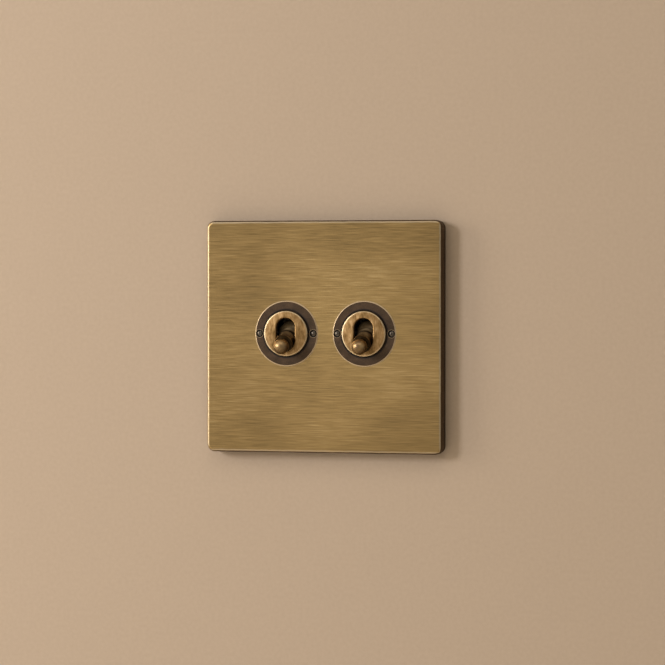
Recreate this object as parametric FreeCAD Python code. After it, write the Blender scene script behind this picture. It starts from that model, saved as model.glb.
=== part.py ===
import FreeCAD, Part
import math
import os

# Two-gang dolly switch on a brass plate, as it hangs on a wall.
# +X is to the right as seen from the room, +Z is up and +Y goes into the wall.
# The origin is midway between the two fixing screws, in the plane of the wall.
# All sizes are in millimetres, and depths are counted back from the front of the plate.

V = FreeCAD.Vector

# Front plate, a shallow dish
plate_width = 92.0
plate_height = 87.2
plate_corner = 3.0
plate_depth = 4.4
plate_edge_round = 1.2
plate_inner_corner = 1.5
face_wall = 1.6
rim_wall = 1.5

# The two switches on the plate
gang_spacing = 30.4
gang_shift_x = 1.0
gang_shift_z = 1.2

# Clip frame, the black band at the wall
band_depth = 1.8
band_inset = 0.15
upstand_wall = 1.6
upstand_gap = 0.2
lip_overlap = 2.5
snap_radius = 0.4
snap_length = 10.0
snap_offset_x = 22.0
boss_radius = 2.8
boss_height = 2.0

# Grid frame, a steel sheet
grid_width = 76.0
grid_height = 72.0
grid_corner = 4.0
grid_thickness = 1.0
grid_gap = 0.15
window_gap = 0.4
frame_screw_edge = 3.5
frame_screw_radius = 1.25
frame_screw_head = 2.3
frame_screw_length = 3.5

# Fixing screws into the wall box
fixing_centres = 60.3
fixing_radius = 1.75
fixing_shoulder = 1.95
fixing_shoulder_proud = 0.3
fixing_hole = 2.1
fixing_slot_travel = 3.0
fixing_head_radius = 3.1
fixing_head_height = 2.0
fixing_slot_width = 1.2
fixing_length = 25.0

# Bezel ring and its screws
ring_radius = 12.2
ring_opening = 8.9
ring_thickness = 0.9
ring_proud = 0.3
ring_bevel = 0.28
ring_bevel_height = 0.16
ring_gap = 0.05
ring_screw_reach = 10.55
ring_screw_radius = 0.8
ring_screw_hole = 0.9
ring_screw_head = 0.95
ring_screw_end_gap = 0.1
ring_screw_sink = 1.3
ring_sink_depth = 0.55
ring_sink_chamfer = 0.15

# Dolly surround, the raised disc
disc_radius = 8.5
disc_rise = 1.5
disc_dome = 0.35
disc_edge_round = 0.5
disc_face = 2.2
disc_bore = 6.2
spigot_radius = 7.4
spigot_gap = 0.1
slot_width = 7.4
slot_length = 11.7
slot_round = 0.4

# Yoke, the steel strap behind the plate
yoke_thickness = 1.2
yoke_fold = 0.7
yoke_width = 18.0
yoke_ear_radius = 2.6
yoke_leg_width = 10.0
yoke_leg_thickness = 1.0
yoke_leg_reach = 3.4
lug_width = 4.0
lug_depth = 1.6
lug_gap = 0.15

# Moulded cover and base
module_width = 20.8
module_height = 42.0
module_corner = 1.2
cover_depth = 11.8
cover_wall = 1.6
cover_bore = 6.3
pocket_width = 11.2
core_wall = 1.8
chamber_width = 6.4
chamber_floor = 1.7
chamber_end_gap = 0.6
rib_thickness = 1.0
rib_height = 6.4

# Dolly, turned from brass, with sizes along it counted from its pivot
pivot_depth = 7.1
throw_angle = 38.0
ball_reach = 14.8
ball_radius = 2.9
collar_reach = 11.4
collar_radius = 3.3
collar_round = 0.45
groove_radius = 2.1
groove_width = 0.3
waist_reach = 9.3
waist_radius = 2.3
shoulder_reach = 7.2
shoulder_radius = 3.3
knuckle_radius = 5.0
tail_radius = 3.0
tail_reach = 6.5
pin_radius = 1.0
pin_half_length = 8.2
pin_gap = 0.05

# Plunger and spring in the tail
plunger_radius = 1.6
plunger_gap = 0.05
plunger_length = 4.3
spring_seat = 1.6
spring_wire = 0.17
spring_radius = 1.2
spring_turns = 4.0
touch_gap = 0.1

# See-saw contact arm
arm_distance = 9.0
arm_width = 4.5
arm_thickness = 0.8
arm_half_length = 7.2
arm_end_gap = 0.8
arm_ratio = 1 / 3
arm_knuckle = 0.9
cradle_gap = 0.05
cradle_drop = 0.3
cradle_width = 5.0
cradle_half_height = 1.7

# Contacts and terminals
contact_reach = 5.9
contact_radius = 1.2
contact_thickness = 0.5
contact_gap = 0.05
strip_thickness = 0.8
strip_width = 4.0
terminal_end_gap = 3.2
common_rise = 2.4
terminal_width = 8.4
terminal_height = 6.4
terminal_depth = 7.4
terminal_chamfer = 0.6
tunnel_radius = 1.7
tunnel_depth = 2.8
stem_width = 3.0
stem_height = 1.6
clamp_radius = 1.3
clamp_head = 2.4
clamp_head_height = 1.6
clamp_back_off = 0.5
screw_slot = 0.6

# Earth parts on the grid frame
earth_edge = 7.0
earth_block = 8.0
earth_rivet = 1.5
leaf_width = 6.0
leaf_thickness = 0.4
leaf_foot = 4.0
leaf_run = 9.0
leaf_lip = 1.6
leaf_gap = 0.05

# Places across the plate that follow from the sizes above
earth_z = earth_edge - grid_height / 2
terminal_reach = module_height / 2 - rib_thickness - terminal_end_gap - terminal_height / 2

# Depths along Y that follow from the sizes above
rim_back = -band_depth
front = -band_depth - plate_depth
inner_face = front + face_wall
grid_front = -grid_thickness
ring_seat = front + ring_thickness - ring_proud
ring_front = front - ring_proud
disc_rim = front - disc_rise
disc_top = disc_rim - disc_dome
yoke_back = inner_face + yoke_thickness
cover_back = yoke_back + cover_depth
pivot = front + pivot_depth
arm_front = pivot + arm_distance
arm_axis = arm_front + arm_thickness
half_throw = throw_angle / 2
arm_tilt = half_throw * arm_ratio
tilt = math.radians(arm_tilt)
fixed_face = (
    arm_axis
    + contact_thickness * math.cos(tilt)
    + (contact_reach + contact_radius) * math.sin(tilt)
    + contact_gap
)
strip_front = fixed_face + contact_thickness
floor_front = strip_front + strip_thickness
base_back = floor_front + chamber_floor
terminal_back = base_back + terminal_depth
tunnel_y = base_back + tunnel_depth
gangs = {
    "left": gang_shift_x - gang_spacing / 2,
    "right": gang_shift_x + gang_spacing / 2,
}


def block(x0, x1, y0, y1, z0, z1):
    return Part.makeBox(x1 - x0, y1 - y0, z1 - z0, V(x0, y0, z0))


def centred(width, y0, y1, height, x=0.0, z=0.0):
    return block(x - width / 2, x + width / 2, y0, y1, z - height / 2, z + height / 2)


def rod_y(radius, y0, y1, x=0.0, z=0.0):
    return Part.makeCylinder(radius, y1 - y0, V(x, y0, z), V(0, 1, 0))


def rod_x(radius, x0, x1, y, z=0.0):
    return Part.makeCylinder(radius, x1 - x0, V(x0, y, z), V(1, 0, 0))


def edges_along(shape, axis):
    """The straight edges that run along one axis."""
    return [
        e
        for e in shape.Edges
        if len(e.Vertexes) == 2
        and abs((e.Vertexes[1].Point - e.Vertexes[0].Point).normalize().dot(axis)) > 0.999
    ]


def edges_at_y(shape, y):
    """The edges that lie in the plane at one depth."""
    return [
        e
        for e in shape.Edges
        if abs(e.BoundBox.YMin - y) < 1e-5 and abs(e.BoundBox.YMax - y) < 1e-5
    ]


def slab(width, height, corner, y0, y1):
    """A flat plate with rounded corners, seen along Y."""
    plain = centred(width, y0, y1, height)
    return plain.makeFillet(corner, edges_along(plain, V(0, 1, 0)))


def obround(width, length, y0, y1, x=0.0, z=0.0):
    """An upright slot with round ends."""
    straight = length - width
    shape = centred(width, y0, y1, straight, x, z)
    for end in (-straight / 2, straight / 2):
        shape = shape.fuse(rod_y(width / 2, y0, y1, x, z + end))
    return shape.removeSplitter()


def turned(start, steps):
    """A body of revolution about the Y axis.

    Points are (depth along Y, radius). A step is the next point, or a middle and an end point of an arc.
    """
    edges = []
    here = V(start[1], start[0], 0)
    for step in steps:
        if isinstance(step[0], tuple):
            middle = V(step[0][1], step[0][0], 0)
            there = V(step[1][1], step[1][0], 0)
            edges.append(Part.Arc(here, middle, there).toShape())
        else:
            there = V(step[1], step[0], 0)
            edges.append(Part.makeLine(here, there))
        here = there
    edges.append(Part.makeLine(here, V(start[1], start[0], 0)))
    return Part.Face(Part.Wire(edges)).revolve(V(0, 0, 0), V(0, 1, 0), 360)


def dome_middle(top, height, radius):
    """The point halfway along the arc of a ball-shaped dome, from its edge to its top."""
    ball = (radius**2 + height**2) / (2 * height)
    angle = math.asin(radius / ball) / 2
    return (top + ball * (1 - math.cos(angle)), ball * math.sin(angle))


def prism_x(points, width):
    """A profile of (depth, height) points drawn out along X, centred on X = 0."""
    corners = [V(-width / 2, y, z) for y, z in points]
    face = Part.Face(Part.makePolygon(corners + corners[:1]))
    return face.extrude(V(width, 0, 0))


def bounded_solid(shape):
    return shape.Solids[0] if len(shape.Solids) == 1 else shape


def save(name, shape):
    shape = bounded_solid(shape)
    if not shape.isValid():
        print("not valid:", name)
    shape.exportStep("parts/" + name + ".step")
    print(name, len(shape.Solids), round(shape.Volume, 2))


def both_gangs(shape):
    """One tool shape at both switches."""
    copies = [shape.translated(V(x, 0, gang_shift_z)) for x in gangs.values()]
    return copies[0].fuse(copies[1])


def front_plate():
    outer = slab(plate_width, plate_height, plate_corner, front, rim_back)
    outer = outer.makeFillet(plate_edge_round, edges_at_y(outer, front))
    hollow = slab(
        plate_width - 2 * rim_wall, plate_height - 2 * rim_wall, plate_inner_corner, inner_face, rim_back + 1
    )
    plate = outer.cut(hollow)
    openings = rod_y(ring_radius + ring_gap, front - 1, ring_seat)
    openings = openings.fuse(rod_y(spigot_radius + spigot_gap, front - 1, inner_face + 1))
    for side in (-1, 1):
        hole = rod_y(ring_screw_hole, front - 1, inner_face + 1, side * ring_screw_reach)
        openings = openings.fuse(hole)
    plate = plate.cut(both_gangs(openings))
    return plate.cut(snap_ridges(snap_radius + ring_gap))


def snap_ridges(radius):
    """Four short ridges on the clip frame, or the grooves for them in the plate's rim."""
    height = plate_height / 2 - rim_wall - upstand_gap
    depth = (inner_face + rim_back) / 2
    ridges = []
    for x in (-snap_offset_x, snap_offset_x):
        for z in (-height, height):
            ridges.append(rod_x(radius, x - snap_length / 2, x + snap_length / 2, depth, z))
    return ridges[0].multiFuse(ridges[1:])


def frame_screw_places():
    across = grid_width / 2 - frame_screw_edge
    up = grid_height / 2 - frame_screw_edge
    return [(x, z) for x in (-across, across) for z in (-up, up)]


def clip_frame():
    frame = slab(
        plate_width - 2 * band_inset, plate_height - 2 * band_inset, plate_corner, rim_back, 0
    )
    inset = rim_wall + upstand_gap
    wide = plate_width - 2 * inset
    high = plate_height - 2 * inset
    upstand = slab(wide, high, plate_inner_corner, inner_face + upstand_gap, rim_back)
    thick = 2 * upstand_wall
    inside = slab(wide - thick, high - thick, plate_inner_corner, front, rim_back)
    frame = frame.fuse(upstand.cut(inside))
    for x, z in frame_screw_places():
        frame = frame.fuse(rod_y(boss_radius, rim_back - boss_height, rim_back, x, z))
    window_width = grid_width - 2 * lip_overlap
    window_height = grid_height - 2 * lip_overlap
    window = slab(window_width, window_height, grid_corner, rim_back - 0.01, 1)
    for x, z in frame_screw_places():
        window = window.cut(rod_y(boss_radius, rim_back - 1, grid_front, x, z))
    frame = frame.cut(window)
    rebate = slab(
        grid_width + 2 * grid_gap, grid_height + 2 * grid_gap, grid_corner, grid_front, 1
    )
    frame = frame.cut(rebate)
    for x, z in frame_screw_places():
        frame = frame.cut(rod_y(frame_screw_radius, rim_back - boss_height, 0, x, z))
    return frame.fuse(snap_ridges(snap_radius).common(frame_ridge_zone())).removeSplitter()


def frame_ridge_zone():
    """The space outside the upstand, where the ridges stand proud."""
    inset = rim_wall + upstand_gap + upstand_wall / 2
    everything = centred(plate_width, inner_face, rim_back, plate_height)
    inner = centred(plate_width, inner_face, rim_back, plate_height - 2 * inset)
    return everything.cut(inner)


def grid_frame():
    sheet = slab(grid_width, grid_height, grid_corner, grid_front, 0)
    window = centred(
        module_width + 2 * window_gap,
        grid_front - 1,
        1,
        module_height + 2 * yoke_leg_thickness + 2 * window_gap,
    )
    sheet = sheet.cut(both_gangs(window))
    sheet = sheet.cut(rod_y(fixing_hole, grid_front - 1, 1, -fixing_centres / 2))
    slot_length = 2 * fixing_hole + fixing_slot_travel
    sheet = sheet.cut(obround(2 * fixing_hole, slot_length, grid_front - 1, 1, fixing_centres / 2))
    for x, z in frame_screw_places():
        sheet = sheet.cut(frame_screw(x, z))
    return sheet.cut(rod_y(earth_rivet, grid_front - 1, 1, 0, earth_z))


def frame_screw(x, z):
    """A countersunk screw, its head flush with the back of the sheet."""
    head = Part.makeCone(
        frame_screw_radius, frame_screw_head, grid_thickness, V(x, grid_front, z), V(0, 1, 0)
    )
    shank = rod_y(frame_screw_radius, -frame_screw_length, grid_front, x, z)
    return head.fuse(shank)


def frame_screws():
    screws = []
    for x, z in frame_screw_places():
        cross = centred(screw_slot, -grid_thickness / 2, 1, 2 * frame_screw_radius, x, z)
        cross = cross.fuse(centred(2 * frame_screw_radius, -grid_thickness / 2, 1, screw_slot, x, z))
        screws.append(frame_screw(x, z).cut(cross))
    return Part.makeCompound(screws)


def fixing_screws():
    head_front = grid_front - fixing_head_height
    rim = head_front + 0.35 * fixing_head_height
    point = grid_front + fixing_length
    screw = turned(
        (point, 0),
        [
            (point, 0.4 * fixing_radius),
            (point - fixing_radius, fixing_radius),
            (fixing_shoulder_proud, fixing_radius),
            (fixing_shoulder_proud, fixing_shoulder),
            (grid_front, fixing_shoulder),
            (grid_front, fixing_head_radius),
            (rim, fixing_head_radius),
            (dome_middle(head_front, rim - head_front, fixing_head_radius), (head_front, 0)),
        ],
    )
    slot_floor = head_front + fixing_head_height / 2
    slot = centred(2 * fixing_head_radius, head_front - 1, slot_floor, fixing_slot_width)
    screw = screw.cut(slot)
    half = fixing_centres / 2
    return Part.makeCompound([screw.translated(V(-half, 0, 0)), screw.translated(V(half, 0, 0))])


def earth_terminal():
    body = centred(earth_block, 0, terminal_depth, earth_block)
    body = body.makeChamfer(terminal_chamfer, edges_at_y(body, terminal_depth))
    body = body.cut(rod_x(tunnel_radius, -earth_block, earth_block, tunnel_depth))
    body = body.cut(rod_y(clamp_radius, tunnel_depth, terminal_depth + 1))
    rivet_front = grid_front - leaf_thickness
    rivet_root = (tunnel_depth - tunnel_radius) / 2
    rivet = turned(
        (rivet_root, 0),
        [
            (rivet_root, earth_rivet),
            (rivet_front, earth_rivet),
            (rivet_front, 1.5 * earth_rivet),
            (rivet_front - 0.5 * earth_rivet, earth_rivet),
            (rivet_front - 0.5 * earth_rivet, 0),
        ],
    )
    return body.fuse(rivet).translated(V(0, 0, earth_z))


def clamp_screw(back, tunnel):
    """A cheese-head clamp screw, backed off so that the wire tunnel is clear."""
    head = back + clamp_back_off
    screw = rod_y(clamp_radius, tunnel + tunnel_radius + touch_gap, head)
    screw = screw.fuse(rod_y(clamp_head, head, head + clamp_head_height))
    rim = edges_at_y(screw, head + clamp_head_height)
    screw = screw.makeChamfer(0.25 * clamp_head_height, rim)
    top = head + clamp_head_height
    return screw.cut(centred(screw_slot, top - 0.5 * clamp_head_height, top + 1, 3 * clamp_head))


def earth_screw():
    return clamp_screw(terminal_depth, tunnel_depth).translated(V(0, 0, earth_z))


def earth_spring():
    """A flat leaf riveted under the terminal, sprung up against the back of the plate."""
    foot = grid_front - leaf_thickness
    rise = inner_face + leaf_gap
    line = [
        V(-leaf_foot, foot, 0),
        V(leaf_foot, foot, 0),
        V(leaf_foot + leaf_run, rise, 0),
        V(leaf_foot + leaf_run + leaf_lip, rise + leaf_lip / 2, 0),
    ]
    back = [p + V(0, leaf_thickness, 0) for p in reversed(line)]
    face = Part.Face(Part.makePolygon(line + back + line[:1]))
    leaf = face.extrude(V(0, 0, leaf_width)).translated(V(0, 0, -leaf_width / 2))
    bends = edges_along(leaf, V(0, 0, 1))
    bends = [e for e in bends if leaf_foot - 0.01 < e.Vertexes[0].X < leaf_foot + leaf_run + 0.01]
    leaf = leaf.makeFillet(0.3 * leaf_thickness, bends)
    leaf = leaf.cut(rod_y(earth_rivet, foot - 1, grid_front + 1))
    return leaf.translated(V(0, 0, earth_z))


def bezel_ring():
    ring = turned(
        (ring_seat, ring_opening),
        [
            (ring_seat, ring_radius),
            (ring_front + ring_bevel_height, ring_radius),
            (ring_front, ring_radius - ring_bevel),
            (ring_front, ring_opening),
        ],
    )
    for side in (-1, 1):
        reach = side * ring_screw_reach
        ring = ring.cut(rod_y(ring_screw_hole, ring_front - 1, ring_seat + 1, reach))
        ring = ring.cut(rod_y(ring_screw_sink, ring_front - 1, ring_front + ring_sink_depth, reach))
        lead = Part.makeCone(
            ring_screw_sink + ring_sink_chamfer,
            ring_screw_sink,
            ring_sink_chamfer,
            V(reach, ring_front, 0),
            V(0, 1, 0),
        )
        ring = ring.cut(lead)
    return ring


def ring_screws():
    seat = ring_front + ring_sink_depth
    top = ring_front - 0.05
    rim = seat - 0.45 * (seat - top)
    end = yoke_back - ring_screw_end_gap
    screw = turned(
        (end, 0),
        [
            (end, ring_screw_radius),
            (seat, ring_screw_radius),
            (seat, ring_screw_head),
            (rim, ring_screw_head),
            (dome_middle(top, rim - top, ring_screw_head), (top, 0)),
        ],
    )
    slot = centred(0.3 * ring_screw_head, top - 1, top + 0.4 * (seat - top), 3 * ring_screw_head)
    screw = screw.cut(slot)
    pair = [screw.translated(V(side * ring_screw_reach, 0, 0)) for side in (-1, 1)]
    return Part.makeCompound(pair)


def dolly_surround():
    cavity_top = disc_top + disc_face
    crown = disc_radius - disc_edge_round
    corner = disc_edge_round * (1 - math.sqrt(0.5))
    disc = turned(
        (yoke_back, disc_bore),
        [
            (yoke_back, spigot_radius),
            (ring_seat, spigot_radius),
            (ring_seat, disc_radius),
            (disc_rim + disc_edge_round, disc_radius),
            ((disc_rim + corner, disc_radius - corner), (disc_rim, crown)),
            ((disc_top + disc_dome / 4, crown / 2), (disc_top, 0)),
            (cavity_top, 0),
            (cavity_top, disc_bore),
        ],
    )
    disc = disc.cut(obround(slot_width, slot_length, disc_top - 1, cavity_top + 1))
    mouth = [
        e
        for e in disc.Edges
        if e.BoundBox.YMax < disc_rim + 0.01
        and max(abs(e.BoundBox.XMin), abs(e.BoundBox.XMax)) < slot_width / 2 + 0.01
        and e.Length > slot_round
    ]
    return disc.makeFillet(slot_round, mouth)


def yoke():
    """A strap with two tapped ears, folded back over the ends of the switch."""
    outside = module_height + 2 * yoke_leg_thickness
    strap = slab(yoke_width, outside, module_corner, inner_face, yoke_back)
    ears = centred(2 * ring_screw_reach, inner_face, yoke_back, 2 * yoke_ear_radius)
    for side in (-1, 1):
        ears = ears.fuse(rod_y(yoke_ear_radius, inner_face, yoke_back, side * ring_screw_reach))
    strap = strap.fuse(ears)
    leg_start = inner_face + yoke_thickness / 2
    leg_end = cover_back + yoke_leg_reach
    for side in (-1, 1):
        middle = side * (module_height + yoke_leg_thickness) / 2
        leg = centred(yoke_leg_width, leg_start, leg_end, yoke_leg_thickness, 0, middle)
        window = centred(
            lug_width + 2 * lug_gap,
            cover_back + lug_gap,
            cover_back + lug_depth + 3 * lug_gap,
            3 * yoke_leg_thickness,
            0,
            middle,
        )
        strap = strap.fuse(leg.cut(window))
    strap = strap.cut(rod_y(spigot_radius, inner_face - 1, yoke_back + 1))
    for side in (-1, 1):
        hole = rod_y(ring_screw_radius, inner_face - 1, yoke_back + 1, side * ring_screw_reach)
        strap = strap.cut(hole)
    folds = [
        e
        for e in edges_along(strap, V(1, 0, 0))
        if abs(e.Vertexes[0].Y - inner_face) < 1e-5 and e.Vertexes[0].Z ** 2 > (module_height / 2) ** 2
    ]
    return strap.makeFillet(yoke_fold, folds)


def pin_bore(radius):
    return rod_x(radius, -pin_half_length, pin_half_length, pivot)


def cover():
    shell = slab(module_width, module_height, module_corner, yoke_back, cover_back)
    shell = shell.cut(rod_y(cover_bore, yoke_back - 1, yoke_back + cover_wall + 1))
    inside = yoke_back + cover_wall
    pocket_height = 2 * (arm_half_length + arm_end_gap)
    shell = shell.cut(centred(pocket_width, inside, cover_back + 1, pocket_height))
    core_width = module_width - 2 * core_wall
    core_low = pocket_height / 2 + core_wall
    core_high = module_height / 2 - core_wall
    for side in (-1, 1):
        middle = side * (core_low + core_high) / 2
        core = centred(core_width, inside, cover_back + 1, core_high - core_low, 0, middle)
        shell = shell.cut(core)
    return shell.cut(pin_bore(pin_radius))


def base():
    """The rear moulding: a chamber in front, and ribs between the terminals behind."""
    body = slab(module_width, module_height, module_corner, cover_back, base_back)
    rib_width = module_width - 2 * module_corner
    rib_back = base_back + rib_height
    end = (module_height - rib_thickness) / 2
    between = terminal_reach / 2
    for place in (-end, common_rise / 2 - between, common_rise / 2 + between, end):
        body = body.fuse(centred(rib_width, floor_front, rib_back, rib_thickness, 0, place))
    chamber_height = 2 * terminal_reach + stem_height + 2 * chamber_end_gap
    body = body.cut(centred(chamber_width, cover_back - 1, floor_front, chamber_height))
    for place in (-terminal_reach, 0, terminal_reach):
        body = body.cut(centred(stem_width, floor_front - 1, base_back + 1, stem_height, 0, place))
    lug_front = cover_back + 2 * lug_gap
    lug_back = cover_back + lug_depth + lug_gap
    for side in (-1, 1):
        middle = side * (module_height + yoke_leg_thickness) / 2
        body = body.fuse(centred(lug_width, lug_front, lug_back, yoke_leg_thickness, 0, middle))
    return body.removeSplitter()


def dolly_shape(shape):
    """Turns a piece drawn along the plate's normal to the stored pose, with the ball down."""
    return shape.rotated(V(0, pivot, 0), V(1, 0, 0), half_throw)


def dolly():
    """The lever, drawn with its ball towards the room, then turned down by half its throw."""
    tail_meets = math.sqrt(knuckle_radius**2 - tail_radius**2)
    neck_meets = math.sqrt(knuckle_radius**2 - (0.75 * knuckle_radius) ** 2)
    diagonal = ball_radius * math.sqrt(0.5)
    groove_end = collar_reach + collar_round + groove_width
    ball_back = (groove_end + ball_reach) / 2
    waist_mid = (shoulder_reach + waist_reach) / 2
    flare_mid = (waist_reach + collar_reach) / 2
    bore = plunger_radius + plunger_gap

    def at(reach):
        return pivot - reach

    outline = [
        (at(-tail_reach), tail_radius),
        (at(-tail_meets), tail_radius),
        ((pivot, knuckle_radius), (at(neck_meets), 0.75 * knuckle_radius)),
        (at(shoulder_reach), shoulder_radius),
        ((at(waist_mid), 0.45 * shoulder_radius + 0.55 * waist_radius), (at(waist_reach), waist_radius)),
        (
            (at(flare_mid), 0.7 * waist_radius + 0.3 * collar_radius),
            (at(collar_reach - collar_round), collar_radius),
        ),
        (
            (at(collar_reach), collar_radius + 0.3 * collar_round),
            (at(collar_reach + collar_round), collar_radius),
        ),
        (at(groove_end), groove_radius),
        ((at(ball_back), 0.25 * groove_radius + 0.75 * ball_radius), (at(ball_reach), ball_radius)),
        ((at(ball_reach + diagonal), diagonal), (at(ball_reach + ball_radius), 0)),
    ]
    lever = turned((at(-spring_seat), 0), [(at(-spring_seat), bore), (at(-tail_reach), bore)] + outline)
    lever = lever.cut(pin_bore(pin_radius + pin_gap))
    return dolly_shape(lever)


def pivot_pin():
    return pin_bore(pin_radius)


def plunger_tip():
    """The plunger's reach from the pivot, just clear of the arm at mid-throw."""
    return arm_distance - touch_gap


def plunger():
    tip = pivot + plunger_tip()
    rear = tip - plunger_length
    shoulder = tip - plunger_radius
    diagonal = plunger_radius * math.sqrt(0.5)
    pin = turned(
        (rear, 0),
        [
            (rear, plunger_radius),
            (shoulder, plunger_radius),
            ((shoulder + diagonal, diagonal), (tip, 0)),
        ],
    )
    return dolly_shape(pin)


def snap_spring():
    rear = plunger_tip() - plunger_length
    height = rear - spring_seat - 2 * spring_wire
    coil = Part.makeHelix(height / spring_turns, height, spring_radius)
    wire = Part.Wire(coil.Edges)
    section = Part.Wire(Part.makeCircle(spring_wire, V(spring_radius, 0, 0), V(0, 1, 0)))
    spring = wire.makePipeShell([section], True, True)
    spring = spring.rotated(V(0, 0, 0), V(1, 0, 0), -90)
    return dolly_shape(spring.translated(V(0, pivot + spring_seat + spring_wire, 0)))


def tilted(shape):
    """Turns an arm piece to the stored pose, its upper end pressed in."""
    return shape.rotated(V(0, arm_axis, 0), V(-1, 0, 0), arm_tilt)


def contact_arm():
    """A see-saw strip with a round knuckle behind its middle and ends bent to the front."""
    bend = arm_half_length - 2 * arm_thickness
    turned_up = arm_thickness
    strip = prism_x(
        [
            (arm_front - turned_up, -arm_half_length),
            (arm_axis - turned_up, -arm_half_length),
            (arm_axis, -bend - arm_thickness),
            (arm_axis, bend + arm_thickness),
            (arm_axis - turned_up, arm_half_length),
            (arm_front - turned_up, arm_half_length),
            (arm_front, bend),
            (arm_front, -bend),
        ],
        arm_width,
    )
    knuckle = rod_x(arm_knuckle, -arm_width / 2, arm_width / 2, arm_axis)
    ahead = centred(arm_width + 1, arm_front - 1, arm_axis - arm_thickness / 2, 4 * arm_knuckle)
    knuckle = knuckle.cut(ahead)
    return tilted(strip.fuse(knuckle).removeSplitter())


def moving_contacts():
    pair = [
        rod_y(contact_radius, arm_axis, arm_axis + contact_thickness, 0, side * contact_reach)
        for side in (-1, 1)
    ]
    return tilted(Part.makeCompound(pair))


def fixed_contacts():
    pair = [
        rod_y(1.05 * contact_radius, fixed_face, strip_front, 0, side * contact_reach) for side in (-1, 1)
    ]
    return Part.makeCompound(pair)


def terminal_block(place, stem_place):
    body = centred(terminal_width, base_back, terminal_back, terminal_height, 0, place)
    body = body.makeChamfer(terminal_chamfer, edges_at_y(body, terminal_back))
    body = body.cut(rod_x(tunnel_radius, -terminal_width, terminal_width, tunnel_y, place))
    body = body.cut(rod_y(clamp_radius, tunnel_y, terminal_back + 1, 0, place))
    return body.fuse(centred(stem_width, floor_front, base_back, stem_height, 0, stem_place))


def end_terminal(side):
    """A terminal block with a stem through the base and a strip that carries the fixed contact."""
    start = contact_reach - 1.2 * contact_radius
    end = terminal_reach + stem_height / 2
    middle = side * (start + end) / 2
    strip = centred(strip_width, strip_front, floor_front, end - start, 0, middle)
    place = side * terminal_reach
    return terminal_block(place, place).fuse(strip).removeSplitter()


def common_terminal():
    """A terminal block whose stem ends in the cradle of the see-saw arm.

    The block stands above its stem, so that a wire can pass the fixing screws.
    """
    cradle = centred(cradle_width, arm_axis + cradle_drop, floor_front, 2 * cradle_half_height)
    cradle = cradle.cut(rod_x(arm_knuckle + cradle_gap, -cradle_width, cradle_width, arm_axis))
    return terminal_block(common_rise, 0).fuse(cradle).removeSplitter()


def terminal_screws():
    screw = clamp_screw(terminal_back, tunnel_y)
    places = (-terminal_reach, common_rise, terminal_reach)
    return Part.makeCompound([screw.translated(V(0, 0, z)) for z in places])


def build():
    os.makedirs("parts", exist_ok=True)
    shared = {
        "front_plate": front_plate,
        "clip_frame": clip_frame,
        "grid_frame": grid_frame,
        "frame_screws": frame_screws,
        "fixing_screws": fixing_screws,
        "earth_terminal": earth_terminal,
        "earth_screw": earth_screw,
        "earth_spring": earth_spring,
    }
    for name, make in shared.items():
        save(name, make())
    each_gang = {
        "bezel_ring": bezel_ring,
        "ring_screws": ring_screws,
        "dolly_surround": dolly_surround,
        "yoke": yoke,
        "cover": cover,
        "base": base,
        "dolly": dolly,
        "pivot_pin": pivot_pin,
        "plunger": plunger,
        "snap_spring": snap_spring,
        "contact_arm": contact_arm,
        "moving_contacts": moving_contacts,
        "fixed_contacts": fixed_contacts,
        "common_terminal": common_terminal,
        "upper_terminal": lambda: end_terminal(1),
        "lower_terminal": lambda: end_terminal(-1),
        "terminal_screws": terminal_screws,
    }
    for name, make in each_gang.items():
        piece = make()
        for side, x in gangs.items():
            save(side + "_" + name, piece.translated(V(x, 0, gang_shift_z)))


build()
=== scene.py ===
import math

import bpy
import numpy as np
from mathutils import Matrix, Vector


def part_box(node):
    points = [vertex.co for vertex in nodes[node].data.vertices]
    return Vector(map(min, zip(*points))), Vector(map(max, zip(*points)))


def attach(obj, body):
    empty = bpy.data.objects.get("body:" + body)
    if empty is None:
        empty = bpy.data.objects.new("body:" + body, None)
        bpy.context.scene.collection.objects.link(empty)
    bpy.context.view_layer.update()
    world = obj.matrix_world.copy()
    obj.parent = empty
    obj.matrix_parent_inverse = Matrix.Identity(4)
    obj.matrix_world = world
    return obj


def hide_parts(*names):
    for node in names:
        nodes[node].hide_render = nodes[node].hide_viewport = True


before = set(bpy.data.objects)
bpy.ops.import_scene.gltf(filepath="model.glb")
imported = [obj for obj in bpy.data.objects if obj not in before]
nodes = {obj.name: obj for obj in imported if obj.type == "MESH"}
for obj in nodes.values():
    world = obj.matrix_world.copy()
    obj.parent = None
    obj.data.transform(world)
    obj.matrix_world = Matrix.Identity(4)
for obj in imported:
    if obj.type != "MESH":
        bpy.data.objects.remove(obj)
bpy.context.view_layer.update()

# A brass dolly switch with two gangs. The dictionaries hold millimetres, and Blender has metres. +Y
# goes into the wall, +X is to the right as seen from the room, and the wall is the plane Y = 0.

mm = 0.001
gangs = {"left": (-14.2, 1.2), "right": (16.2, 1.2)}  # the middle of each switch, X and Z
usual = (0.3, 0.7)  # nearly all the values of a pattern lie between these
print("frame loaded:", len(nodes), "nodes")

# In the dictionaries of the finishes, a pattern has the size of its marks along X, Y and Z, and shares
# say how much of each pattern there is. Colours are a ramp's places from 0 to 1 with a colour for each.
# A layer or range says where it starts and ends, and what it gives at each, which is 0 and 1 if it
# doesn't say. Rough is the least and most roughness, and bump is how deep the surface is marked.


def linear(hexText):
    # an sRGB hex text as linear red, green, blue and alpha
    shares = [int(hexText[i:i + 2], 16) / 255 for i in (1, 3, 5)]
    return [c / 12.92 if c <= 0.04045 else ((c + 0.055) / 1.055) ** 2.4 for c in shares] + [1.0]


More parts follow.
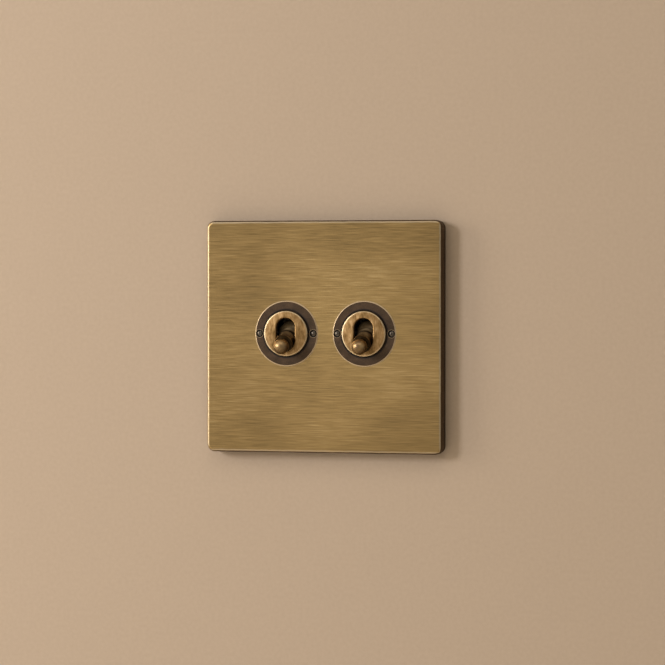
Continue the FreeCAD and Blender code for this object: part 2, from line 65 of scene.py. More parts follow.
def addNode(tree, kind, settings=None, links=None):
    # one node: settings name its inputs or properties, stops are a ramp's colours, links feed its inputs
    node = tree.nodes.new("ShaderNode" + kind)
    for key, value in (settings or {}).items():
        if isinstance(value, str) and value.startswith("#"):
            value = linear(value)
        if key == "stops":
            elements = node.color_ramp.elements
            while len(elements) < len(value):
                elements.new(0.5)
            for element, (position, colour) in zip(elements, value):
                element.position = position
                element.color = linear(colour)
        elif isinstance(key, int) or key in node.inputs:
            node.inputs[key].default_value = value
        else:
            setattr(node, key, value)
    for key, socket in (links or {}).items():
        tree.links.new(socket, node.inputs[key])
    return node


def openMaterial(name, settings):
    # a fresh material, its shader, and each point's place in millimetres
    material = bpy.data.materials.new(name)
    material.use_nodes = True
    tree = material.node_tree
    tree.nodes.clear()
    shader = addNode(tree, "BsdfPrincipled", settings)
    addNode(tree, "OutputMaterial", {}, {"Surface": shader.outputs[0]})
    metres = addNode(tree, "TexCoord").outputs["Object"]
    place = addNode(tree, "Mapping", {"Scale": (1 / mm, 1 / mm, 1 / mm)}, {"Vector": metres})
    return material, tree, shader, place.outputs[0]


def pattern(tree, place, sizes, detail, shift=0.0):
    # cloudy noise from 0 to 1 with marks of these sizes, and shifted so that two patterns differ
    scaled = {"Scale": tuple(1 / s for s in sizes), "Location": (shift, 2 * shift, 3 * shift)}
    shrunk = addNode(tree, "Mapping", scaled, {"Vector": place}).outputs[0]
    noise = addNode(tree, "TexNoise", {"Scale": 1.0, "Detail": detail}, {"Vector": shrunk})
    return noise.outputs[0]


def smooth(low, high, start=0.0, end=1.0):
    # settings for a range that goes smoothly from start to end as its value goes from low to high
    return {"interpolation_type": "SMOOTHSTEP", 1: low, 2: high, 3: start, 4: end}


def blendShares(tree, parts):
    # a weighted sum of several values
    total = None
    for value, share in parts:
        scaled = addNode(tree, "Math", {"operation": "MULTIPLY", 1: share}, {0: value}).outputs[0]
        if total is not None:
            scaled = addNode(tree, "Math", {"operation": "ADD"}, {0: total, 1: scaled}).outputs[0]
        total = scaled
    return total


def layOver(tree, under, over, value, layer):
    # one colour with another laid over it, as much as the value's place in the layer's range says
    share = addNode(tree, "MapRange", smooth(*layer), {0: value}).outputs[0]
    return addNode(tree, "Mix", {"data_type": "RGBA", 7: over}, {0: share, 6: under}).outputs[2]


def radiusFrom(tree, place, centre):
    # the distance from a line along Y through this place across the plate
    x, z = centre
    flattened = {"Scale": (1, 0, 1), "Location": (-x, 0, -z)}
    flat = addNode(tree, "Mapping", flattened, {"Vector": place}).outputs[0]
    return addNode(tree, "VectorMath", {"operation": "LENGTH"}, {0: flat}).outputs["Value"]


def finishSurface(tree, shader, colour, roughness, height, depth):
    # joins the colour, the roughness and a bump of that depth to the shader
    bump = addNode(tree, "Bump", {"Strength": 1.0, "Distance": depth * mm}, {"Height": height})
    tree.links.new(colour, shader.inputs["Base Color"])
    tree.links.new(roughness, shader.inputs["Roughness"])
    tree.links.new(bump.outputs[0], shader.inputs["Normal"])


# The plate is sheet brass, brushed flat along X and then aged. It shows fine level streaks, broad
# patches of lighter and darker brown, rubbed edges, and a dark skin on its side walls that is partly
# patina and partly painted shade. Painted shade also darkens it towards its corners.
plate = {
    "width": 92.0,
    "height": 87.2,
    "front": -6.2,
    "streak": (8.0, 8.0, 0.21),  # real brush lines are about 0.05 mm, too fine to show
    "line": (20.0, 8.0, 0.42),
    "patch": (36.0, 12.0, 20.0),
    "shares": (0.49, 0.18, 0.33),
    "colours": [(0.26, "#74654A"), (0.42, "#9B8256"), (0.57, "#B09462"), (0.76, "#D0B684")],
    "cloud": (3.0, 3.0, 3.0),
    "bright": "#D3C8B4",
    "edge": (-1.0, -0.4, 0.0, 0.36),  # from the outline, and below zero on the plate
    "edgeRagged": 0.5,  # how far the clouds shift it
    "lip": (12.42, 12.2, 0.0, 0.72),  # from a gang's middle
    "skinAndShade": "#48331A",
    # painted shade: how dark the plate is painted towards its corners
    "paintedVignette": (-40.0, -5.0, 0.0, 0.26),
    "vignetteShares": (0.5, 0.5, -0.2),  # of how far past the sides and the ends a point is, and of X
    "sideWall": (0.95, 1.25),  # behind the front
    "sideRagged": 0.3,
    "round": (-1.2, -0.4),  # from the outline
    "roundReach": 0.7,  # how much nearer to the front the skin comes there
    "holeWall": (0.1, 0.5),  # behind the front
    "holeInset": 2.0,  # the holes lie further inside the outline than this
    "rough": (0.32, 0.44),
    "skinRough": 0.35,  # how much rougher the skin is
    "skinMetal": 0.25,
    "bump": 0.009,
}


def skinAndShadeWalls(tree, x, y, cloud, edge, pastEnds):
    # 1 on the plate's side walls and on the walls of its two holes, and 0 on its face. There the colour is
    # dark skin, partly patina and partly painted shade. The painted shade comes further round the upper,
    # lower and right edges than round the left one, which faces the light.
    level = addNode(tree, "MapRange", smooth(*plate["round"]), {0: pastEnds}).outputs[0]
    start, end = (plate["width"] / 2 + past for past in plate["round"])
    right = addNode(tree, "MapRange", smooth(start, end), {0: x}).outputs[0]
    reach = addNode(tree, "Math", {"operation": "MAXIMUM"}, {0: level, 1: right}).outputs[0]
    parts = [(y, 1.0), (cloud, plate["sideRagged"]), (reach, plate["roundReach"])]
    ragged = blendShares(tree, parts)
    start, end = (plate["front"] + depth for depth in plate["sideWall"])
    side = addNode(tree, "MapRange", smooth(start, end), {0: ragged}).outputs[0]
    inset = {"operation": "LESS_THAN", 1: -plate["holeInset"]}
    inside = addNode(tree, "Math", inset, {0: edge}).outputs[0]
    start, end = (plate["front"] + depth for depth in plate["holeWall"])
    sunk = addNode(tree, "MapRange", smooth(start, end), {0: y}).outputs[0]
    hole = addNode(tree, "Math", {"operation": "MULTIPLY"}, {0: inside, 1: sunk}).outputs[0]
    return addNode(tree, "Math", {"operation": "MAXIMUM"}, {0: side, 1: hole}).outputs[0]


def brushedBrass():
    settings = {"Anisotropic": 0.5, "Anisotropic Rotation": 0.25}
    material, tree, shader, place = openMaterial("brushed_antique_brass", settings)
    streak = pattern(tree, place, plate["streak"], detail=4.0)
    line = pattern(tree, place, plate["line"], detail=2.0, shift=5.0)
    patch = pattern(tree, place, plate["patch"], detail=1.0, shift=9.0)
    cloud = pattern(tree, place, plate["cloud"], detail=3.0)
    tone = blendShares(tree, zip((streak, line, patch), plate["shares"]))
    colour = addNode(tree, "ValToRGB", {"stops": plate["colours"]}, {0: tone}).outputs[0]
    # how far a point lies outside the plate's sides, its ends, and both: below zero on the plate
    x, y, z = addNode(tree, "SeparateXYZ", {}, {0: place}).outputs
    outside = []
    for socket, size in ((x, plate["width"]), (z, plate["height"])):
        away = addNode(tree, "Math", {"operation": "ABSOLUTE"}, {0: socket}).outputs[0]
        past = addNode(tree, "Math", {"operation": "SUBTRACT", 1: size / 2}, {0: away})
        outside.append(past.outputs[0])
    pastSides, pastEnds = outside
    edge = addNode(tree, "Math", {"operation": "MAXIMUM"}, {0: pastSides, 1: pastEnds}).outputs[0]
    # painted shade, like a vignette: darker towards its corners, and more on the left
    paintedVignette = blendShares(tree, zip((pastSides, pastEnds, x), plate["vignetteShares"]))
    colour = layOver(tree, colour, plate["skinAndShade"], paintedVignette, plate["paintedVignette"])
    # its outline and the lips round the two rings are rubbed bright
    worn = blendShares(tree, [(edge, 1.0), (cloud, plate["edgeRagged"])])
    colour = layOver(tree, colour, plate["bright"], worn, plate["edge"])
    for centre in gangs.values():
        radius = radiusFrom(tree, place, centre)
        colour = layOver(tree, colour, plate["bright"], radius, plate["lip"])
    wallSkinAndShade = skinAndShadeWalls(tree, x, y, cloud, edge, pastEnds)
    # dark skin and painted shade on the side walls and in the holes
    colour = layOver(tree, colour, plate["skinAndShade"], wallSkinAndShade, (0.0, 1.0))
    lessMetal = smooth(0.0, 1.0, 1.0, plate["skinMetal"])
    metal = addNode(tree, "MapRange", lessMetal, {0: wallSkinAndShade}).outputs[0]
    tree.links.new(metal, shader.inputs["Metallic"])
    rough = addNode(tree, "MapRange", smooth(*usual, *plate["rough"]), {0: streak}).outputs[0]
    rough = blendShares(tree, [(rough, 1.0), (wallSkinAndShade, plate["skinRough"])])
    finishSurface(tree, shader, colour, rough, streak, plate["bump"])
    return material


nodes["front_plate"].data.materials[0] = brushedBrass()
print("plate brushed and aged")

# The ring is turned brass, chemically bronzed to a dark brown. The bronzing is worn off its bevel and
# off the rims of its screw sinks. Painted shade makes it near black beside the disc, where the disc's
# shadow falls, and on the walls of its screw sinks.
ring = {
    "cloud": (2.6, 2.6, 2.6),
    "speck": (0.5, 0.5, 0.5),
    "shares": (0.55, 0.45),
    "colours": [(0.34, "#352817"), (0.5, "#423120"), (0.68, "#4F3D2A")],
    "metal": 0.55,
    "worn": "#C4AC88",
    "skinAndShade": "#120D0A",
    "bevel": (11.9, 12.0),  # from the gang's middle, as is the next one
    "discShadow": (9.55, 9.0, 0.0, 0.9),
    "screwReach": 10.55,  # how far each screw is from the gang's middle
    "sinkRim": (1.64, 1.54, 0.0, 0.4),  # from the screw's middle, as is the next one
    "sinkShade": (1.48, 1.38),
    "marks": 0.5,  # real turning marks are about 0.1 mm apart, too fine to show
    "marksShare": 0.15,
    "rough": (0.42, 0.54),
    "bump": 0.012,
}


def bronzedBrass(side):
    settings = {"Metallic": ring["metal"]}
    material, tree, shader, place = openMaterial("bronzed_brass_" + side, settings)
    radius = radiusFrom(tree, place, gangs[side])
    cloud = pattern(tree, place, ring["cloud"], detail=4.0)
    speck = pattern(tree, place, ring["speck"], detail=3.0, shift=6.0)
    tone = blendShares(tree, zip((cloud, speck), ring["shares"]))
    colour = addNode(tree, "ValToRGB", {"stops": ring["colours"]}, {0: tone}).outputs[0]
    colour = layOver(tree, colour, ring["worn"], radius, ring["bevel"])
    # painted shadow of the disc: near black beside it
    colour = layOver(tree, colour, ring["skinAndShade"], radius, ring["discShadow"])
    # both screw sinks at once: fold the ring about its own upright line, then measure from the screw
    x, z = gangs[side]
    shifted = addNode(tree, "Mapping", {"Location": (-x, 0, -z)}, {"Vector": place}).outputs[0]
    folded = addNode(tree, "VectorMath", {"operation": "ABSOLUTE"}, {0: shifted}).outputs[0]
    fromScrew = radiusFrom(tree, folded, (ring["screwReach"], 0))
    colour = layOver(tree, colour, ring["worn"], fromScrew, ring["sinkRim"])
    # painted shade on the walls of the screw sinks
    colour = layOver(tree, colour, ring["skinAndShade"], fromScrew, ring["sinkShade"])
    turns = blendShares(tree, [(radius, 2 * math.pi / ring["marks"])])
    marks = addNode(tree, "Math", {"operation": "SINE"}, {0: turns}).outputs[0]
    height = blendShares(tree, [(marks, ring["marksShare"]), (tone, 1.0)])
    rough = addNode(tree, "MapRange", smooth(*usual, *ring["rough"]), {0: cloud}).outputs[0]
    finishSurface(tree, shader, colour, rough, height, ring["bump"])
    return material


for side in gangs:
    nodes[side + "_bezel_ring"].data.materials[0] = bronzedBrass(side)
print("rings bronzed")

# The raised disc is cast and turned brass, lacquered a golden brown, mottled, and rubbed bright at its
# rim, with a painted highlight on the rim's left and painted shade on the walls of its slot.
disc = {
    "radius": 8.5,
    "cloud": (2.0, 2.0, 3.4),
    "fleck": (0.45, 0.45, 1.5),
    "shares": (0.6, 0.4),
    "colours": [(0.34, "#745932"), (0.46, "#97774C"), (0.57, "#AD8B5E"), (0.70, "#C8AB7F")],
    "bright": "#D6C29E",
    "rim": (8.1, 8.6),  # from the gang's middle
    "ragged": 0.3,  # how far the flecks shift it
    "litWider": 0.25,  # how much further in the painted highlight reaches at its left
    "skinAndShade": "#3A2614",
    "slotWall": (-7.45, -6.85),  # along Y
    "rough": (0.28, 0.4),
    "rubbedRough": 0.14,  # how much rougher the rim is
    "skinRough": 0.35,
    "skinMetal": 0.2,
    "bump": 0.02,
}


def goldenBrass(side):
    material, tree, shader, place = openMaterial("golden_brass_" + side, {})
    middle = gangs[side][0]
    radius = radiusFrom(tree, place, gangs[side])
    cloud = pattern(tree, place, disc["cloud"], detail=4.0)
    fleck = pattern(tree, place, disc["fleck"], detail=3.0, shift=4.0)
    tone = blendShares(tree, zip((cloud, fleck), disc["shares"]))
    colour = addNode(tree, "ValToRGB", {"stops": disc["colours"]}, {0: tone}).outputs[0]
    # the rim is rubbed bright, and a painted highlight makes the bright band wider on the left, which
    # faces the light
    x, y = addNode(tree, "SeparateXYZ", {}, {0: place}).outputs[:2]
    litTowardsLeft = smooth(middle, middle - disc["radius"], 0.0, disc["litWider"])
    left = addNode(tree, "MapRange", litTowardsLeft, {0: x}).outputs[0]
    rimWearAndLight = blendShares(tree, [(radius, 1.0), (fleck, disc["ragged"]), (left, 1.0)])
    colour = layOver(tree, colour, disc["bright"], rimWearAndLight, disc["rim"])
    duller = smooth(*disc["rim"], 0.0, disc["rubbedRough"])
    rubbed = addNode(tree, "MapRange", duller, {0: rimWearAndLight}).outputs[0]
    # dark skin with painted shade on the walls of the slot and on the disc's side wall
    deep = addNode(tree, "MapRange", smooth(*disc["slotWall"]), {0: y}).outputs[0]
    colour = layOver(tree, colour, disc["skinAndShade"], deep, (0.0, 1.0))
    lessMetal = smooth(0.0, 1.0, 1.0, disc["skinMetal"])
    metal = addNode(tree, "MapRange", lessMetal, {0: deep}).outputs[0]
    tree.links.new(metal, shader.inputs["Metallic"])
    rough = addNode(tree, "MapRange", smooth(*usual, *disc["rough"]), {0: cloud}).outputs[0]
    rough = blendShares(tree, [(rough, 1.0), (deep, disc["skinRough"]), (rubbed, 1.0)])
    finishSurface(tree, shader, colour, rough, tone, disc["bump"])
    return material


for side in gangs:
    nodes[side + "_dolly_surround"].data.materials[0] = goldenBrass(side)
print("discs lacquered")

# The lever is turned brass that hands have kept half bright. It has a dark skin on its waist, and is
# paler on the ball. Painted shade darkens its grooves, its waist and the underside and tip of its ball,
# and a painted light brightens its hub. Its reach is measured from its pivot towards the ball.
lever = {
    "pivot": 0.9,
    "tilt": 19.0,
    "cloud": (2.2, 2.2, 2.2),
    "colours": [(0.34, "#7C5E41"), (0.5, "#997A50"), (0.66, "#B49366")],
    "bright": "#D4BF98",
    "ball": (13.0, 17.5, 0.0, 0.15),
    "paintedLitHub": (6.2, 5.0, 0.0, 0.5),
    "skinAndShade": "#2E2519",
    "undersideShade": (3.0, -2.2, 0.0, 0.66),  # across the lever, from its top down
    "tip": (17.6, 18.8, 0.0, 0.42),
    "waist": (9.5, 11.8, 0.6, 0.1),
    "neck": (5.0, 6.4, 0.15, 1.0),
    "grooveShade": "#150E07",
    "grooves": (11.98, 6.5),  # the reach of each
    "grooveShadeWidth": (0.1, 0.6, 0.9, 0.0),
    "metal": (5.0, 9.0, 0.35, 1.0),
    "marks": 0.3,  # real turning marks are about 0.1 mm apart, too fine to show
    "marksShare": 0.12,
    "rough": (0.33, 0.4),
    "hubRough": (5.0, 11.0, 0.2, 0.0),
    "bump": 0.006,
}


def agedBrass(side):
    material, tree, shader, place = openMaterial("aged_brass_" + side, {})
    x, z = gangs[side]
    moved = {"Location": (-x, -lever["pivot"], -z)}
    turned = {"Rotation": (-math.radians(lever["tilt"]), 0, 0)}
    own = addNode(tree, "Mapping", moved, {"Vector": place}).outputs[0]
    own = addNode(tree, "Mapping", turned, {"Vector": own}).outputs[0]
    inwards, above = addNode(tree, "SeparateXYZ", {}, {0: own}).outputs[1:]
    reach = blendShares(tree, [(inwards, -1.0)])
    cloud = pattern(tree, place, lever["cloud"], detail=3.0)
    colour = addNode(tree, "ValToRGB", {"stops": lever["colours"]}, {0: cloud}).outputs[0]
    colour = layOver(tree, colour, lever["bright"], reach, lever["ball"])
    # painted light: the hub, deep in the slot's shade, is made paler to stand in for light reaching it
    colour = layOver(tree, colour, lever["bright"], reach, lever["paintedLitHub"])
    # painted shade: the underside and the very tip of the ball are darkened with the skin colour, as if
    # turned from the light
    colour = layOver(tree, colour, lever["skinAndShade"], above, lever["undersideShade"])
    colour = layOver(tree, colour, lever["skinAndShade"], reach, lever["tip"])
    # dark skin with painted shade lies thick on the waist, and thin on the hub and the ball
    waist = addNode(tree, "MapRange", smooth(*lever["waist"]), {0: reach}).outputs[0]
    neck = addNode(tree, "MapRange", smooth(*lever["neck"]), {0: reach}).outputs[0]
    waistSkinAndShade = addNode(tree, "Math", {"operation": "MINIMUM"}, {0: waist, 1: neck}).outputs[0]
    skinAndShade = {"data_type": "RGBA", 7: lever["skinAndShade"]}
    colour = addNode(tree, "Mix", skinAndShade, {0: waistSkinAndShade, 6: colour}).outputs[2]
    # painted shade in the groove behind the ball and in the corner behind the shoulder, where the
    # shoulder's shadow falls
    for groove in lever["grooves"]:
        away = addNode(tree, "Math", {"operation": "SUBTRACT", 1: groove}, {0: reach}).outputs[0]
        away = addNode(tree, "Math", {"operation": "ABSOLUTE"}, {0: away}).outputs[0]
        colour = layOver(tree, colour, lever["grooveShade"], away, lever["grooveShadeWidth"])
    metal = addNode(tree, "MapRange", smooth(*lever["metal"]), {0: reach}).outputs[0]
    tree.links.new(metal, shader.inputs["Metallic"])
    turns = blendShares(tree, [(reach, 2 * math.pi / lever["marks"])])
    marks = addNode(tree, "Math", {"operation": "SINE"}, {0: turns}).outputs[0]
    height = blendShares(tree, [(marks, lever["marksShare"]), (cloud, 1.0)])
    rough = addNode(tree, "MapRange", smooth(*usual, *lever["rough"]), {0: cloud}).outputs[0]
    duller = addNode(tree, "MapRange", smooth(*lever["hubRough"]), {0: reach}).outputs[0]
    rough = blendShares(tree, [(rough, 1.0), (duller, 1.0)])
    finishSurface(tree, shader, colour, rough, height, lever["bump"])
    return material


for side in gangs:
    nodes[side + "_dolly"].data.materials[0] = agedBrass(side)
print("levers aged")

# The finishes of the other pieces. Their grain is clouds between two colours, and shine is how strongly
# one reflects if that isn't the usual half.
finishes = {
    # heavily oiled steel: near black with a brown cast and rubbed high spots
    "blackened_steel": dict(
        colours=("#443D35", "#6E665A"), grain=(0.5, 0.5, 0.5),
        rough=(0.3, 0.42), bump=0.01, metal=0.85
    ),
    # moulded nylon in a spark-eroded tool: dull, even and near black
    "moulded_nylon_black": dict(
        colours=("#140E09", "#201810"), grain=(0.35, 0.35, 0.35),
        rough=(0.62, 0.75), bump=0.02, metal=0.0, shine=0.15
    ),
    # zinc plated and passivated sheet steel: pale grey with faint blue and straw clouds along Z
    "zinc_plated_sheet": dict(
        colours=("#B9BBBC", "#C4C3BC"), grain=(2.4, 2.4, 9.0),
        rough=(0.35, 0.4), bump=0.0004, metal=1.0
    ),
    # nickel plate on a headed screw: bright, warm grey and nearly even
    "nickel_plated_steel": dict(
        colours=("#AFA99E", "#BEB8AC"), grain=(0.8, 0.8, 0.8),
        rough=(0.28, 0.34), bump=0.0004, metal=1.0
    ),
    # drawn terminal brass: yellow and bright, with die lines along X
    "drawn_brass": dict(
        colours=("#BC9E62", "#C8AA6E"), grain=(9.0, 0.9, 0.9),
        rough=(0.28, 0.33), bump=0.0005, metal=1.0
    ),
    # steel clamp screws, zinc plated and yellow passivated: straw with a trace of green and rose
    "yellow_zinc_steel": dict(
        colours=("#B39A5B", "#CDBB83"), grain=(1.1, 1.1, 1.1),
        rough=(0.26, 0.36), bump=0.006, metal=1.0
    ),
    # rolled phosphor bronze: a redder metal with fine rolling lines
    "rolled_bronze": dict(
        colours=("#9C6238", "#B87C4C"), grain=(7.0, 0.5, 0.5),
        rough=(0.24, 0.36), bump=0.005, metal=1.0
    ),
    # pressed phenolic: deep brown and glossy, with slow flow clouds and dark specks of wood filler
    "pressed_phenolic": dict(
        colours=("#2A160E", "#46281A"), grain=(2.2, 3.4, 5.0),
        rough=(0.3, 0.42), bump=0.008, metal=0.0
    ),
    # moulded urea: opaque ivory with a soft gloss
    "moulded_urea": dict(
        colours=("#D9CFB4", "#E3DAC0"), grain=(1.6, 2.4, 4.0),
        rough=(0.34, 0.44), bump=0.006, metal=0.0
    ),
    # ground silver steel: a clean grey pin with marks round it
    "ground_steel": dict(
        colours=("#8F8F8E", "#B3B2AF"), grain=(0.25, 2.0, 2.0),
        rough=(0.2, 0.3), bump=0.003, metal=1.0
    ),
    # turned nylon: milky and waxy
    "turned_nylon": dict(
        colours=("#D9D3C4", "#EAE5D8"), grain=(0.6, 0.6, 0.6),
        rough=(0.4, 0.5), bump=0.006, metal=0.0
    ),
    # music wire: dark grey with a drawn sheen
    "music_wire": dict(
        colours=("#5F5D5B", "#85827E"), grain=(0.3, 0.3, 0.3),
        rough=(0.26, 0.38), bump=0.003, metal=1.0
    ),
    # stamped half-hard brass: flat yellow with rolling lines along Z
    "stamped_brass": dict(
        colours=("#A67F3F", "#C6A05C"), grain=(0.4, 0.4, 5.0),
        rough=(0.26, 0.4), bump=0.005, metal=1.0
    ),
    # fine silver rivet heads: white and slightly sooty
    "silver_rivet": dict(
        colours=("#B9B8B5", "#E2E1DE"), grain=(0.7, 0.7, 0.7),
        rough=(0.24, 0.4), bump=0.005, metal=1.0
    ),
}

# All of them have finer clouds too, which are a share of the grain's size. Shares say how much there is of
# each, and the spans are the values between which the colour and the roughness change.
clouds = {
    "fine": 0.35,
    "shares": (0.65, 0.35),
    "colourSpan": (0.36, 0.64),
    "roughSpan": (0.35, 0.65),
}


def plainFinish(name):
    look = finishes[name]
    settings = {"Metallic": look["metal"], "Specular IOR Level": look.get("shine", 0.5)}
    material, tree, shader, place = openMaterial(name, settings)
    grain = pattern(tree, place, look["grain"], detail=3.0)
    smaller = [clouds["fine"] * size for size in look["grain"]]
    fine = pattern(tree, place, smaller, detail=2.0, shift=7.0)
    tone = blendShares(tree, zip((grain, fine), clouds["shares"]))
    stops = list(zip(clouds["colourSpan"], look["colours"]))
    colour = addNode(tree, "ValToRGB", {"stops": stops}, {0: tone}).outputs[0]
    roughSpan = smooth(*clouds["roughSpan"], *look["rough"])
    rough = addNode(tree, "MapRange", roughSpan, {0: tone}).outputs[0]
    finishSurface(tree, shader, colour, rough, fine, look["bump"])
    return material


# The finish of each piece that the two gangs share, and of each that every gang has for itself
sharedPieces = {
    "clip_frame": "moulded_nylon_black",
    "grid_frame": "zinc_plated_sheet",
    "frame_screws": "nickel_plated_steel",
    "fixing_screws": "nickel_plated_steel",
    "earth_terminal": "drawn_brass",
    "earth_screw": "yellow_zinc_steel",
    "earth_spring": "rolled_bronze",
}
gangPieces = {
    "ring_screws": "blackened_steel",
    "yoke": "zinc_plated_sheet",
    "cover": "pressed_phenolic",
    "base": "moulded_urea",
    "pivot_pin": "ground_steel",
    "plunger": "turned_nylon",
    "snap_spring": "music_wire",
    "contact_arm": "stamped_brass",
    "moving_contacts": "silver_rivet",
    "fixed_contacts": "silver_rivet",
    "common_terminal": "drawn_brass",
    "upper_terminal": "drawn_brass",
    "lower_terminal": "drawn_brass",
    "terminal_screws": "yellow_zinc_steel",
}
plain = {name: plainFinish(name) for name in finishes}
for piece, name in sharedPieces.items():
    nodes[piece].data.materials[0] = plain[name]
for side in gangs:
    for piece, name in gangPieces.items():
        nodes[side + "_" + piece].data.materials[0] = plain[name]
print("finishes laid on every node")

# The fixing screws with their threads cut. In the CAD each shank is a plain cylinder of that size.
screw = {
    "centres": (-30.15, 30.15),
    "start": 0.3,  # where the threads begin, along Y
    "slack": 0.01,  # for rounding, where the heads are cut off the CAD's screws
    "overlap": 0.1,  # how far the shank reaches into the head
    "radius": 1.75,
    "pitch": 0.6,
    "depth": 0.36,
    "groove": (1.14, 1.28),  # its depth is the first less the second times the way to the crest
    "taper": 1.75,
    "tip": 0.7,
    "around": 40,
    "perPitch": 10,
    "crease": 35.0,
}


def screwHeads():
    # The corners and triangles of the CAD's screws in front of where the threads begin, with doubles
    # merged. Edges that only one triangle has are where the shanks were, and a fan from each screw's
    # middle closes them.
    mesh = nodes["fixing_screws"].data
    points = np.empty(3 * len(mesh.vertices))
    mesh.vertices.foreach_get("co", points)
    corners = np.empty(len(mesh.loops), dtype=int)
    mesh.loops.foreach_get("vertex_index", corners)
    points, merged = np.unique(np.round(points.reshape(-1, 3), 7), axis=0, return_inverse=True)
    triangles = merged.reshape(-1)[corners].reshape(-1, 3)
    inFront = points[:, 1] < (screw["start"] + screw["slack"]) * mm
    kept = triangles[inFront[triangles].all(axis=1)]
    edges = np.concatenate([kept[:, [0, 1]], kept[:, [1, 2]], kept[:, [2, 0]]])
    either = np.sort(edges, axis=1)
    first, count = np.unique(either, axis=0, return_index=True, return_counts=True)[1:]
    rim = edges[first[count == 1]]
    middle = len(points) + (points[rim[:, 0], 0] > 0)
    middles = [[centre * mm, screw["start"] * mm, 0] for centre in screw["centres"]]
    points = np.concatenate([points, middles])
    kept = np.concatenate([kept, np.stack([rim[:, 1], rim[:, 0], middle], axis=-1)])
    used, faces = np.unique(kept, return_inverse=True)
    return points[used], faces.reshape(-1, 3)


def threadedShank(centre, end):
    # A grid of places along +Y by angles. The radius is the full one less a groove that goes once
    # round the screw in every pitch. The groove has a flat root, straight flanks and a flat crest,
    # and it fades in over the first pitch. Over the last length the radius narrows to the tip. A fan
    # closes each end.
    around = screw["around"]
    start = screw["start"] - screw["overlap"]
    rows = int((end - screw["start"]) / screw["pitch"] * screw["perPitch"])
    y = np.linspace(start, end, rows)[:, None]
    turn = np.linspace(0, 1, around, endpoint=False)[None, :]
    toCrest = np.abs(2 * ((y / screw["pitch"] + turn) % 1) - 1)
    full, slope = screw["groove"]
    groove = np.clip(full - toCrest * slope, 0, 1)
    fade = np.clip((y - screw["start"]) / screw["pitch"], 0, 1)
    radius = screw["radius"] - screw["depth"] * groove * fade
    left = np.clip((end - y) / screw["taper"], 0, 1)
    radius = np.minimum(radius, screw["tip"] + (screw["radius"] - screw["tip"]) * left)
    angle = 2 * math.pi * turn
    x = centre + radius * np.cos(angle)
    points = np.stack([x, y + 0 * angle, radius * np.sin(angle)], axis=-1).reshape(-1, 3)
    points = np.concatenate([points, [[centre, end, 0], [centre, start, 0]]]) * mm
    row = np.arange(rows - 1)[:, None] * around
    here = np.arange(around)[None, :]
    beside = (here + 1) % around
    walls = [row + here, row + around + here, row + around + beside, row + beside]
    walls = np.stack(walls, axis=-1).reshape(-1, 4)
    last = (rows - 1) * around
    endMiddle = 0 * here + last + around
    tipFan = np.stack([last + here, endMiddle, last + beside], axis=-1).reshape(-1, 3)
    startFan = np.stack([beside, endMiddle + 1, here], axis=-1).reshape(-1, 3)
    return points, walls, np.concatenate([tipFan, startFan])


def threadedScrews():
    # the heads and both shanks as one piece in place of the CAD's screws
    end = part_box("fixing_screws")[1][1] / mm
    points, heads = screwHeads()
    faces = heads.tolist()
    for centre in screw["centres"]:
        more, walls, fans = threadedShank(centre, end)
        faces += (walls + len(points)).tolist() + (fans + len(points)).tolist()
        points = np.concatenate([points, more])
    mesh = bpy.data.meshes.new("threaded_fixing_screws")
    mesh.from_pydata(points.tolist(), [], faces)
    mesh.shade_smooth()
    mesh.set_sharp_from_angle(angle=math.radians(screw["crease"]))
    mesh.materials.append(plain["nickel_plated_steel"])
    piece = bpy.data.objects.new("threaded_fixing_screws", mesh)
    bpy.context.scene.collection.objects.link(piece)
    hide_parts("fixing_screws")
    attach(piece, "housing")


threadedScrews()
print("threads cut")

# The stage: a pale wall round the box behind the plate, and a pale floor well below
stage = {
    "wall": ("#B3A18D", "#B7A591"),  # clouds between the two
    "floor": ("#EFEBE3", "#F3EFE7"),
    "grain": (1.4, 1.4, 1.4),
    "rough": 0.85,
    "half": 1200.0,  # half the side of the wall and of the floor
    "boxHalf": 42.0,  # half the side of the opening where the box behind the plate is
    "wallFront": -0.02,  # so that it doesn't share a plane with the back of the clip frame
    "floorTop": -420.0,
}


def seenRays(tree):
    # 1 for what the eye, a reflection or a view through glass meets, 0 for light that spreads
    path = addNode(tree, "LightPath").outputs
    direct = {0: path["Is Camera Ray"], 1: path["Is Glossy Ray"]}
    seen = addNode(tree, "Math", {"operation": "MAXIMUM"}, direct).outputs[0]
    through = {0: seen, 1: path["Is Transmission Ray"]}
    return addNode(tree, "Math", {"operation": "MAXIMUM"}, through).outputs[0]


def paleSheet(name, corners, faces):
    # a flat sheet of four-cornered faces that is clear from behind
    mesh = bpy.data.meshes.new(name)
    mesh.from_pydata((corners * mm).tolist(), [], faces.tolist())
    sheet = bpy.data.objects.new(name, mesh)
    bpy.context.scene.collection.objects.link(sheet)
    material, tree, shader, place = openMaterial(name, {"Roughness": stage["rough"]})
    grain = pattern(tree, place, stage["grain"], detail=3.0)
    stops = list(zip(usual, stage[name]))
    colour = addNode(tree, "ValToRGB", {"stops": stops}, {0: grain}).outputs[0]
    tree.links.new(colour, shader.inputs["Base Color"])
    behind = {0: addNode(tree, "NewGeometry").outputs["Backfacing"], 1: seenRays(tree)}
    hidden = addNode(tree, "Math", {"operation": "MULTIPLY"}, behind).outputs[0]
    clear = addNode(tree, "BsdfTransparent").outputs[0]
    mixed = addNode(tree, "MixShader", {}, {0: hidden, 1: shader.outputs[0], 2: clear})
    tree.links.new(mixed.outputs[0], tree.nodes["Material Output"].inputs["Surface"])
    mesh.materials.append(material)


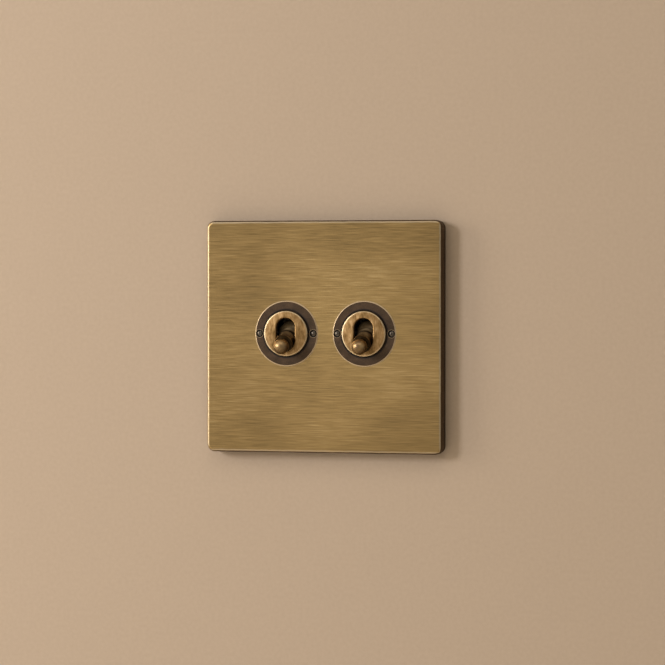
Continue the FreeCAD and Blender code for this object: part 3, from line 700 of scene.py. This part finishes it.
square = np.array([(-1, -1), (1, -1), (1, 1), (-1, 1)])
wallSquares = np.concatenate([square * stage["half"], square * stage["boxHalf"]])
index = np.arange(4)
following = (index + 1) % 4
wallFaces = np.stack([index, following, following + 4, index + 4], axis=-1)
paleSheet("wall", np.insert(wallSquares, 1, stage["wallFront"], axis=1), wallFaces)
paleSheet("floor", np.insert(square * stage["half"], 2, stage["floorTop"], axis=1), index[None, :])

# The world: soft light that is strongest from the upper left front. What is seen of it, also in the
# metal, is paler.
world = {
    "strength": 0.7,
    "light": [(0.0, "#332617"), (1.0, "#F2E3CC")],
    "seen": [(0.0, "#D8D3CB"), (1.0, "#ECE4D8")],
    "from": (-0.66, -0.52, 0.48),
    "spread": (-0.1, 0.75),
}


def softWorld():
    made = bpy.data.worlds.new("softStudio")
    made.use_nodes = True
    tree = made.node_tree
    tree.nodes.clear()
    way = addNode(tree, "TexCoord").outputs["Generated"]
    dot = {"operation": "DOT_PRODUCT", 1: world["from"]}
    facing = addNode(tree, "VectorMath", dot, {0: way}).outputs["Value"]
    share = addNode(tree, "MapRange", smooth(*world["spread"]), {0: facing}).outputs[0]
    light = addNode(tree, "ValToRGB", {"stops": world["light"]}, {0: share}).outputs[0]
    seen = addNode(tree, "ValToRGB", {"stops": world["seen"]}, {0: share}).outputs[0]
    either = {0: seenRays(tree), 6: light, 7: seen}
    colour = addNode(tree, "Mix", {"data_type": "RGBA"}, either).outputs[2]
    sky = addNode(tree, "Background", {"Strength": world["strength"]}, {"Color": colour})
    addNode(tree, "OutputWorld", {}, {"Surface": sky.outputs[0]})
    bpy.context.scene.world = made


softWorld()

# The key light stands at the left front, with a tall window at the far left and a weak light high in
# front. Two more light the back of the switch, and the wall keeps the two sides' light apart. They all
# face the middle of the switch.
lamps = {
    "keyBox": dict(place=(-800, -820, 320), width=240, height=340, watts=6.5, colour="#F6F4F8"),
    "windowBox": dict(place=(-1080, -400, 200), width=300, height=700, watts=5.6, colour="#FFF3E2"),
    "ceilingBox": dict(place=(120, -760, 980), width=1100, height=420, watts=2.2, colour="#FFF6EA"),
    "rearBox": dict(place=(700, 900, 500), width=900, height=900, watts=16.0, colour="#FFFFFF"),
    "rearFill": dict(place=(-900, 700, -100), width=700, height=700, watts=8.0, colour="#FFFFFF"),
}
for name, lamp in lamps.items():
    light = bpy.data.lights.new(name, "AREA")
    light.shape = "RECTANGLE"
    light.size = lamp["width"] * mm
    light.size_y = lamp["height"] * mm
    light.energy = lamp["watts"]
    light.color = linear(lamp["colour"])[:3]
    box = bpy.data.objects.new(name, light)
    box.location = Vector(lamp["place"]) * mm
    box.rotation_euler = (-Vector(lamp["place"])).to_track_quat("-Z", "Y").to_euler()
    bpy.context.scene.collection.objects.link(box)
print("stage and lamps set")

# The camera stands to the right of the plate and a little above, and looks left and slightly down
view = {
    "aim": (3.81, -6.2, 1.64),
    "distance": 1200.0,
    "yaw": 16.52,
    "pitch": 0.96,
    "lens": 173.64,
    "sensor": 36.0,
    "clip": (10.0, 20000.0),
}
yaw = math.radians(view["yaw"])
pitch = math.radians(view["pitch"])
level = math.cos(pitch)
ahead = Vector((-math.sin(yaw) * level, math.cos(yaw) * level, -math.sin(pitch)))
camera = bpy.data.objects.new("camera", bpy.data.cameras.new("camera"))
camera.data.lens = view["lens"]
camera.data.sensor_width = view["sensor"]
camera.data.clip_start, camera.data.clip_end = (distance * mm for distance in view["clip"])
camera.location = (Vector(view["aim"]) - ahead * view["distance"]) * mm
camera.rotation_euler = ahead.to_track_quat("-Z", "Y").to_euler()
bpy.context.scene.collection.objects.link(camera)
bpy.context.scene.camera = camera
bpy.context.scene.view_settings.view_transform = "Standard"
